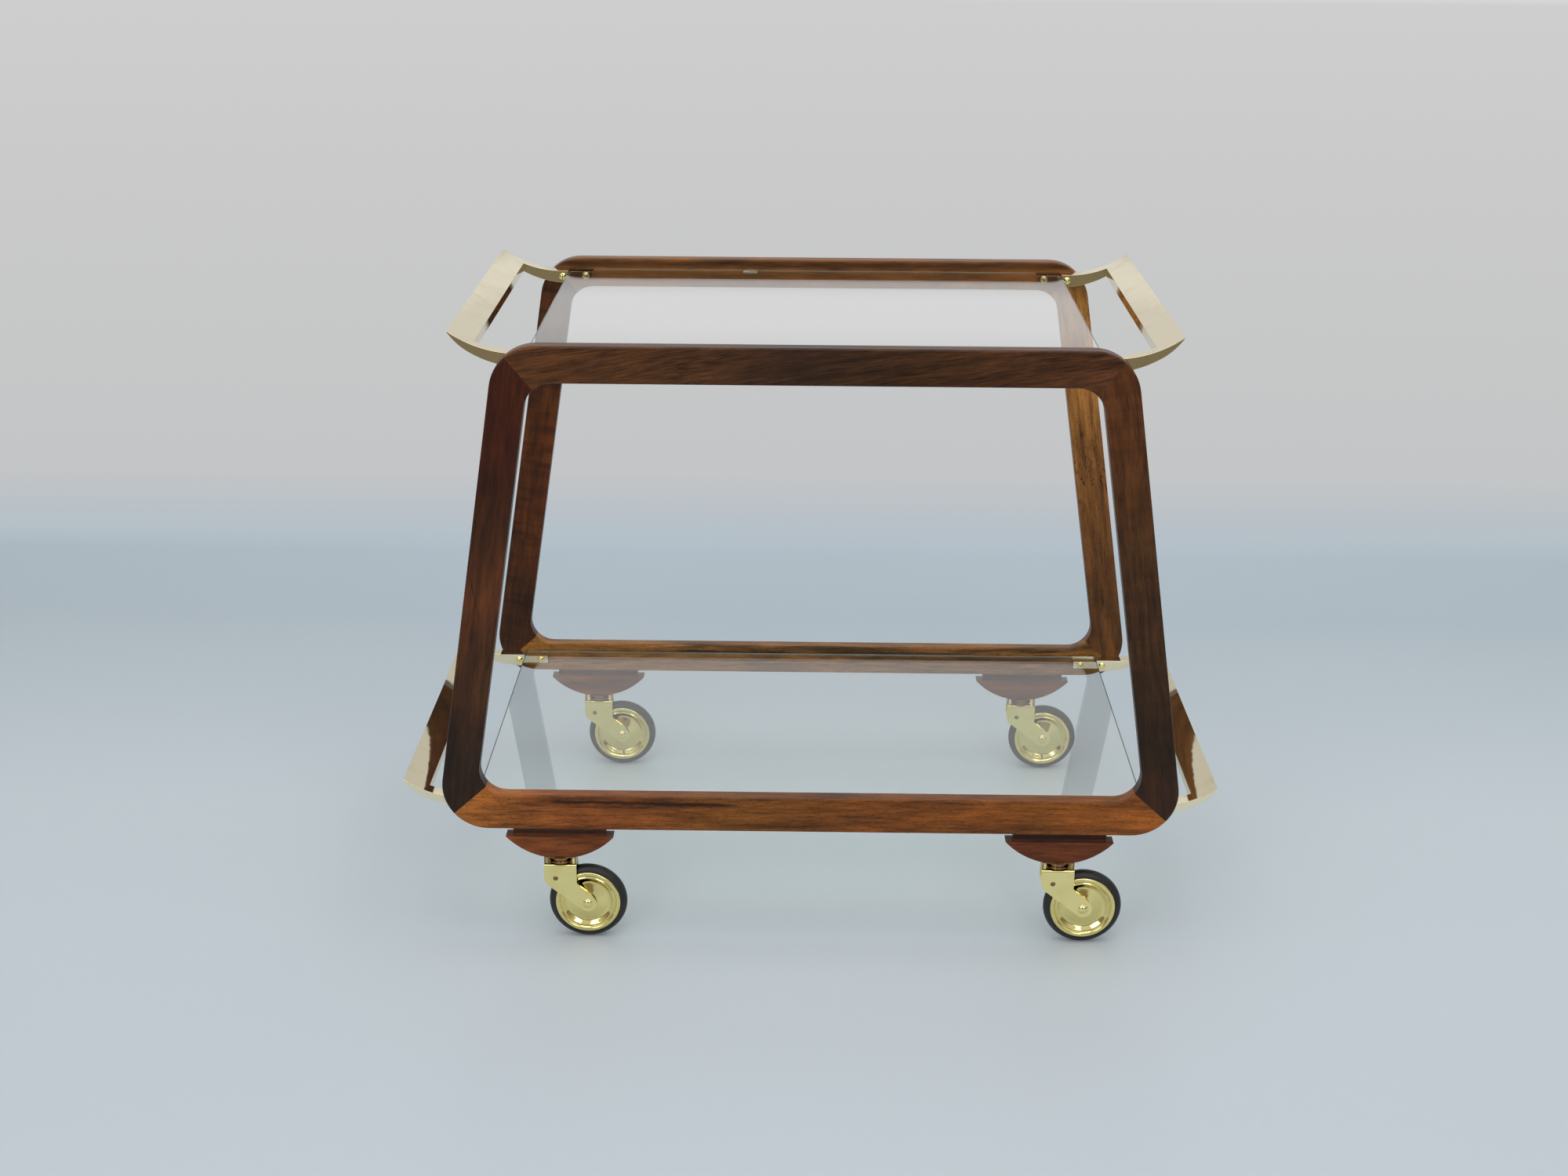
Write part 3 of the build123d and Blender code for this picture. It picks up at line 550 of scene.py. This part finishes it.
def brass_of(node):
    """The brass that a node is made of, told by the node's name."""
    if node == "glass_clip":
        return clip_brass
    if node.endswith("_handle"):
        return cast_brass
    if node.endswith(("_plate", "_race", "_washer", "_kingpin", "_cross_pin")):
        return bearing_brass
    return sheet_brass


brass_nodes = [name for name, piece in nodes.items()
               if piece.data.materials and piece.data.materials[0].name.startswith("polished_brass")]
for name in brass_nodes:
    nodes[name].data.materials[0] = brass_of(name)
print("brass pieces", len(brass_nodes))

# %% [markdown]
# ## The cast handles
#
# Each handle is a crescent crosspiece with two arms that run in between the frames
# and carry the glass on a step. All of it has one side view, so it could be an
# extruded outline with a window cut through. Here it is two height fields over the
# same U-shaped plan, an upper one and a lower one, with a wall round the rim:
# then a Bevel breaks every arris, as the founder's file and the polishing wheel do.
# A true arris has a hair of light along it, and that is what reads as cast metal.

# %% Side view of a handle
# All in millimetres. Distances along a handle are counted from its tip inwards.
handle_reach, step_height = 69.0, 5.0
ledge_length, ledge_bottom = 25.5, 12.8
belly_reach, belly_depth, tip_thickness = 19.8, 8.2, 0.6
grip_width, arm_depth = 22.5, 14.0


def circle_height(s, centre, radius):
    """Height of the lower half of a circle at distance s."""
    return centre[1] - np.sqrt(np.maximum(radius**2 - (s - centre[0]) ** 2, 0))


def top_height(s, arcs):
    """Height of the top at distances s from the tip. It is level inside the first start, and
    from each start towards the tip it follows an arc that goes on in the same direction:
    the sine of its slope grows by distance over radius, and it rises by the radius times
    the difference of the cosines."""
    height = np.zeros_like(s)
    sine = np.zeros_like(s)
    ends = [start for start, _ in arcs[1:]] + [0.0]
    for (start, radius), end in zip(arcs, ends):
        further = sine + np.clip(start - s, 0, start - end) / radius
        height += radius * (np.sqrt(1 - sine**2) - np.sqrt(1 - further**2))
        sine = further
    return height


def belly_height(s, run, rise):
    """Height of the underside. One circle starts level under the step and passes the belly,
    and a second one goes on from there in the same direction and meets the tip."""
    radius = (run**2 + rise**2) / (2 * rise)
    belly = np.array([belly_reach, radius - math.sqrt(radius**2 - (run - belly_reach) ** 2) - belly_depth])
    first = np.array([handle_reach - belly_reach, belly[1] + ledge_bottom])
    first_radius = (first @ first) / (2 * first[1])
    first_centre = np.array([handle_reach, first_radius - ledge_bottom])
    inward = (first_centre - belly) / first_radius
    chord = np.array([0, rise - tip_thickness]) - belly
    second_radius = (chord @ chord) / (2 * (chord @ inward))
    second_centre = belly + second_radius * inward
    outer = circle_height(s, second_centre, second_radius)
    inner = circle_height(s, first_centre, first_radius)
    return np.where(s < belly_reach, outer, np.where(s < handle_reach, inner, -ledge_bottom))


print("a handle reaches", handle_reach, "mm from its tip to its step")

# %% A shell round the metal of a plan
def shell_faces(index, metal):
    """Faces of three layers of points, top, middle and bottom, whose numbers are in index. A
    cell of the plan that is metal gets a top and a bottom face, and every line between
    metal and air gets two faces, one over the other."""
    i, j = np.nonzero(metal)
    faces = [np.stack([index[k, i, j], index[k, i + 1, j], index[k, i + 1, j + 1], index[k, i, j + 1]], -1)
             for k in (0, 2)]
    framed = np.pad(metal, 1)
    across = np.nonzero(framed[1:, 1:-1] != framed[:-1, 1:-1])
    along = np.nonzero(framed[1:-1, 1:] != framed[1:-1, :-1])
    for (i, j), (di, dj) in ((across, (0, 1)), (along, (1, 0))):
        for k in (0, 1):
            wall = [index[k, i, j], index[k, i + di, j + dj],
                    index[k + 1, i + di, j + dj], index[k + 1, i, j]]
            faces.append(np.stack(wall, -1))
    return np.concatenate(faces)


# %% A handle from its two height fields
# Stations along the grip and from there to the step, and lines across the opening.
GRIP_STATIONS, REACH_STATIONS, OPENING_LINES = 24, 48, 33
# The file takes off 0.45 mm where two faces meet at more than 25 degrees.
ARRIS_WIDTH, ARRIS_ANGLE = 0.45, 25


def cast_handle(name, end, tip, glass_top, half_width, run, rise, arcs):
    """Top, middle and bottom heights on a grid of stations s and lines y. The plan is metal
    on the crosspiece and on the arms. The step's station comes twice, for its two heights."""
    opening = half_width - arm_depth
    s = np.unique(np.concatenate([np.linspace(0, grip_width, GRIP_STATIONS),
                                  np.linspace(grip_width, handle_reach, REACH_STATIONS)]))
    s = np.concatenate([s, [handle_reach, handle_reach + ledge_length]])
    y = np.concatenate([[-half_width], np.linspace(-opening, opening, OPENING_LINES), [half_width]])
    over = top_height(s, arcs)
    over[-2:] = -step_height
    under = belly_height(s, run, rise)
    middle = over + (under - over) * step_height / ledge_bottom
    middle[-2:] = -step_height

    layers = np.zeros((3, len(s), len(y), 3))
    layers[..., 0] = end * (tip - s)[None, :, None]
    layers[..., 1] = y
    layers[..., 2] = glass_top + np.stack([over, middle, under])[:, :, None]
    index = np.arange(layers[..., 0].size).reshape(layers.shape[:3])
    s_middle, y_middle = (s[1:] + s[:-1]) / 2, (y[1:] + y[:-1]) / 2
    metal = (s_middle[:, None] < grip_width) | (abs(y_middle)[None] > opening)
    made = build(name, layers.reshape(-1, 3) * MM, shell_faces(index, metal))
    arris = made.modifiers.new("arris", "BEVEL")
    arris.width, arris.segments = ARRIS_WIDTH * MM, 3
    arris.limit_method, arris.angle_limit = "ANGLE", math.radians(ARRIS_ANGLE)
    arris.harden_normals = True
    made.data.materials.append(cast_brass)
    return made


# %% The four handles in their places
HANDLES = {"upper": dict(run=62.0, rise=20.0, arcs=((62.0, 106.1),)),
           "lower": dict(run=54.0, rise=16.0, arcs=((44.4, 60.6), (grip_width, 109.0)))}

for level, form in HANDLES.items():
    for side, end in (("left", -1), ("right", 1)):
        low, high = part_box(f"{level}_{side}_handle")
        tip, half_width = max(abs(low.x), abs(high.x)) / MM, high.y / MM
        glass_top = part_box(f"{level}_glass_shelf")[1].z / MM
        piece = cast_handle(f"{level}_{side}_cast_handle", end, tip, glass_top, half_width, **form)
        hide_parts(f"{level}_{side}_handle")
        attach(piece, "root")
        print(piece.name, "tip at", round(tip, 1), "mm, faces", len(piece.data.polygons))

# %% [markdown]
# ## The wheel discs
#
# Each disc is pressed from brass sheet: a rim rolled into two beads, a dish whose
# floor rises to the hub like a shallow cone, and a rounded cove between them. The
# cone and the cove are what catches the dark of the room, as a brown patch over the
# hub and a dark crescent under it. The section could be drawn as a curve and spun
# with the Screw modifier. Here its corners are rounded by a formula and the ring of
# points is turned about the axle, so that every bend is smooth under a mirror.

# %% Section of a disc
# Distance from the axle, distance from the disc's middle plane, and radius of the
# bend, all in millimetres: hub, cone, cove, inner bead, outer bead and the rim's lip.
HALF_SECTION = ((3.05, 7.3, 0.2), (5.6, 7.3, 0.6), (6.6, 6.1, 0.5), (9.4, 5.9, 5.0), (20.6, 2.9, 3.6),
                (25.1, 6.3, 1.0), (26.5, 5.3, 0.35), (28.0, 7.2, 1.9), (30.6, 7.1, 1.1), (31.3, 6.2, 0.2),
                (31.3, 5.9, 0.1), (27.0, 5.9, 0.15))


def rounded(corners, count=7):
    """Rounds each corner of a closed outline, given as (x, y, radius). The arc's centre lies
    on the line that halves the corner, at radius over the sine of half its angle, and
    its points are turned from one touching point to the other at an even rate."""
    corners = np.array(corners)
    spot, radius = corners[:, :2], corners[:, 2:]
    back, on = np.roll(spot, 1, axis=0) - spot, np.roll(spot, -1, axis=0) - spot
    back /= np.linalg.norm(back, axis=1, keepdims=True)
    on /= np.linalg.norm(on, axis=1, keepdims=True)
    half = np.arccos(np.clip((back * on).sum(1, keepdims=True), -1, 1)) / 2
    centre = spot + (back + on) / np.linalg.norm(back + on, axis=1, keepdims=True) * radius / np.sin(half)
    first = (spot + back * radius / np.tan(half) - centre)[:, None]
    last = (spot + on * radius / np.tan(half) - centre)[:, None]
    turn = (np.pi - 2 * half)[:, None]
    share = np.linspace(0, 1, count)[None, :, None]
    arc = (np.sin((1 - share) * turn) * first + np.sin(share * turn) * last) / np.sin(turn)
    return (centre[:, None] + arc).reshape(-1, 2)


other_half = tuple((radius, -offset, bend) for radius, offset, bend in HALF_SECTION[::-1])
section = rounded(HALF_SECTION + other_half)
print("disc section has", len(section), "points")

# %% The discs turned about their axles
DISC_STEPS = 128


def turned(section, centre):
    """Rings of points about an axle along Y. A point of the section stands at its distance
    from the axle, in the direction of each step's angle, and at its offset along Y."""
    angle = np.linspace(0, 2 * np.pi, DISC_STEPS, endpoint=False)[:, None]
    rings = np.zeros((DISC_STEPS, len(section), 3))
    rings[..., 0] = centre.x + section[:, 0] * np.cos(angle)
    rings[..., 1] = centre.y + section[:, 1]
    rings[..., 2] = centre.z + section[:, 0] * np.sin(angle)
    return rings


for corner in CORNERS:
    low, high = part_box(corner + "_wheel_disc")
    rings = turned(section, (low + high) / 2 / MM)
    disc = surface(corner + "_pressed_disc", rings * MM, closed=True)
    disc.data.materials.append(disc_brass)
    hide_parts(corner + "_wheel_disc")
    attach(disc, corner + "_wheel")
    print(disc.name, "faces", len(disc.data.polygons))

# %% [markdown]
# ## Glass and rubber
#
# The shelves are float glass with ground arrises. Seen through its face the glass is clear, and seen
# through its edge it is a deep green, because light then runs a long way inside it. So the colour is given
# as absorption per length, and not as a tint of the surface. The lower shelf's rim is drawn mostly matt and
# dark green, so it doesn't flash like a mirror; the upper one's is nearly polished.
# The tyres are moulded black rubber.

# %% Float glass
def float_glass(name, ground):
    """Clear glass. Shadow rays pass straight through it, so that the floor gets its light.
    The share ground of the rim is matt. The rim is where the normal isn't upright."""
    made, tree, out = new_material(name)
    ray = add(tree, "LightPath")
    face = add(tree, "BsdfPrincipled", {"Base Color": linear("#FFFFFF"), "Roughness": 0.0, "IOR": 1.52,
                                        "Transmission Weight": 1.0})
    matt = add(tree, "BsdfPrincipled", {"Base Color": linear("#43524D"), "Roughness": 0.5, "IOR": 1.52})
    normal = add(tree, "SeparateXYZ", links={0: add(tree, "NewGeometry").outputs["True Normal"]})
    flatness = add(tree, "Math", {"operation": "ABSOLUTE"}, {0: normal.outputs["Z"]})
    rim = add(tree, "MapRange", {"From Min": 0.95, "From Max": 0.90, "To Max": ground}, {"Value": flatness})
    shown = add(tree, "MixShader", links={0: rim, 1: face, 2: matt})
    passed = add(tree, "BsdfTransparent", {"Color": linear("#FBFEFD")})
    both = add(tree, "MixShader", links={0: ray.outputs["Is Shadow Ray"], 1: shown, 2: passed})
    depth = add(tree, "VolumeAbsorption", {"Color": linear("#7FC9B4"), "Density": 6.0})
    tree.links.new(both.outputs[0], out.inputs["Surface"])
    tree.links.new(depth.outputs[0], out.inputs["Volume"])
    return made


upper_glass = float_glass("clear_float_glass", ground=0.1)
lower_glass = float_glass("clear_float_glass_with_ground_rim", ground=0.8)
nodes["upper_glass_shelf"].data.materials[0] = upper_glass
nodes["lower_glass_shelf"].data.materials[0] = lower_glass
print("glass", upper_glass.name, "and", lower_glass.name)

# %% Moulded rubber
# The skin has a fine grain of 1.2 mm, and handling wears it in patches of 14 mm.
rubber, tree, out = new_material("moulded_black_rubber")
place = add(tree, "TexCoord").outputs["Object"]
grain = add(tree, "TexNoise", {"Scale": 1 / (1.2 * MM), "Detail": 3.0}, {0: place})
worn = add(tree, "TexNoise", {"Scale": 1 / (14 * MM), "Detail": 3.0}, {0: place})
tone = add(tree, "ValToRGB", links={"Fac": worn}, stops=((0.35, "#121212"), (0.7, "#201F1E")))
gloss = add(tree, "MapRange", {"To Min": 0.34, "To Max": 0.56}, {"Value": worn})
skin = add(tree, "Bump", {"Strength": 0.1, "Distance": 0.1 * MM}, {"Height": grain})
shader = add(tree, "BsdfPrincipled", {"IOR": 1.5}, {"Base Color": tone, "Roughness": gloss, "Normal": skin})
tree.links.new(shader.outputs[0], out.inputs["Surface"])
for corner in CORNERS:
    nodes[corner + "_tyre"].data.materials[0] = rubber
print("tyres of", rubber.name, len(CORNERS))

# %% [markdown]
# ## Last steps
#
# The view transform is set to Standard, so that a colour is shown as it is
# written.

# %% Sizes
bpy.context.scene.view_settings.view_transform = "Standard"
low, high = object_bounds()
print("visual size", [round(b - a, 4) for a, b in zip(low, high)])
